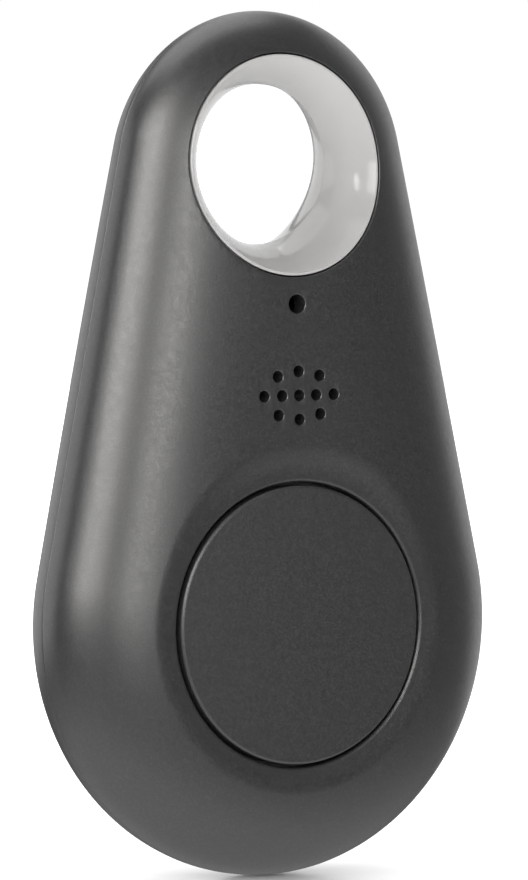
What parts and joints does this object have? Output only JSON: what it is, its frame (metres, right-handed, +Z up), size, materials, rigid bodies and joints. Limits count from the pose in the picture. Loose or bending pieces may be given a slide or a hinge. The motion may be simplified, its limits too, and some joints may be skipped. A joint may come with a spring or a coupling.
{
  "type": "bluetooth tracker tag",
  "caption": "Teardrop key-finder tag: two snapped shells round a coin cell, board and sounder, with a press button and a flared eyelet for a key ring.",
  "frame": {"origin": "the eyelet's centre, on its axis and on the parting plane between the two shells", "axes": "+Z up the tag's length towards the crown, +Y from the front face to the back face, +X to the right as the front is seen"},
  "size_m": [0.0306, 0.0098, 0.052],
  "materials": {
    "shell": "charcoal with a fine metallic grain, satin",
    "button": "charcoal, satin, a little darker than the shell",
    "eyelet": "white, glossy",
    "board": "green solder mask over fibreglass",
    "copper": "bare or gold-flashed copper",
    "steel": "stainless steel",
    "plated_lead": "nickel plate",
    "black_moulding": "black moulding compound",
    "resistor": "black glaze",
    "chip_ceramic": "tan ceramic",
    "ferrite": "grey ferrite",
    "seal": "natural nylon",
    "lithium": "soft silvery metal",
    "cathode": "pressed black powder",
    "separator": "white non-woven sheet",
    "led_body": "white moulding",
    "led_lens": "clear resin"
  },
  "bodies": {
    "case": {"front_shell": "shell", "eyelet_ring": "eyelet", "circuit_board": "board", "antenna_trace": "copper", "led_base": "led_body", "led_lens": "led_lens", "sounder_case": "black_moulding", "sounder_yoke": "steel", "sounder_coil": "copper", "sounder_magnet": "ferrite", "sounder_diaphragm": "steel", "sounder_lead_left": "plated_lead", "sounder_lead_right": "plated_lead", "switch_base": "black_moulding", "switch_dome": "steel", "switch_cover": "steel", "switch_lead_left": "plated_lead", "switch_lead_right": "plated_lead", "radio_chip": "black_moulding", "memory_chip": "black_moulding", "crystal_can": "plated_lead", "sounder_transistor": "black_moulding", "sounder_diode": "black_moulding", "supply_coil": "ferrite", "capacitor_1": "chip_ceramic", "capacitor_2": "chip_ceramic", "capacitor_3": "chip_ceramic", "capacitor_4": "chip_ceramic", "capacitor_5": "chip_ceramic", "capacitor_6": "chip_ceramic", "capacitor_7": "chip_ceramic", "resistor_1": "resistor", "resistor_2": "resistor", "resistor_3": "resistor", "resistor_4": "resistor", "cell_can": "steel", "cell_seal": "seal", "cell_cap": "steel", "cell_anode": "lithium", "cell_separator": "separator", "cell_cathode": "cathode", "cell_contact": "copper", "cell_clip": "plated_lead"},
    "button": {"button_cap": "button"},
    "plunger": {"switch_plunger": "black_moulding"},
    "back_cover": {"back_shell": "shell"}
  },
  "joints": [
    {"name": "button_press", "type": "slide", "parent": "case", "child": "button", "axis": [0, 1, 0], "range_m": [0, 0.00025], "stiffness_N_per_m": 4000, "springref_m": -0.00005},
    {"name": "plunger_press", "type": "slide", "parent": "case", "child": "plunger", "axis": [0, 1, 0], "range_m": [0, 0.00025], "deforming": ["switch_dome"]},
    {"name": "back_cover_lift_off", "type": "slide", "parent": "case", "child": "back_cover", "axis": [0, 1, 0], "range_m": [0, 0.016]}
  ],
  "couplings": [
    {"joint": "plunger_press", "follows": "button_press", "ratio": 1}
  ]
}
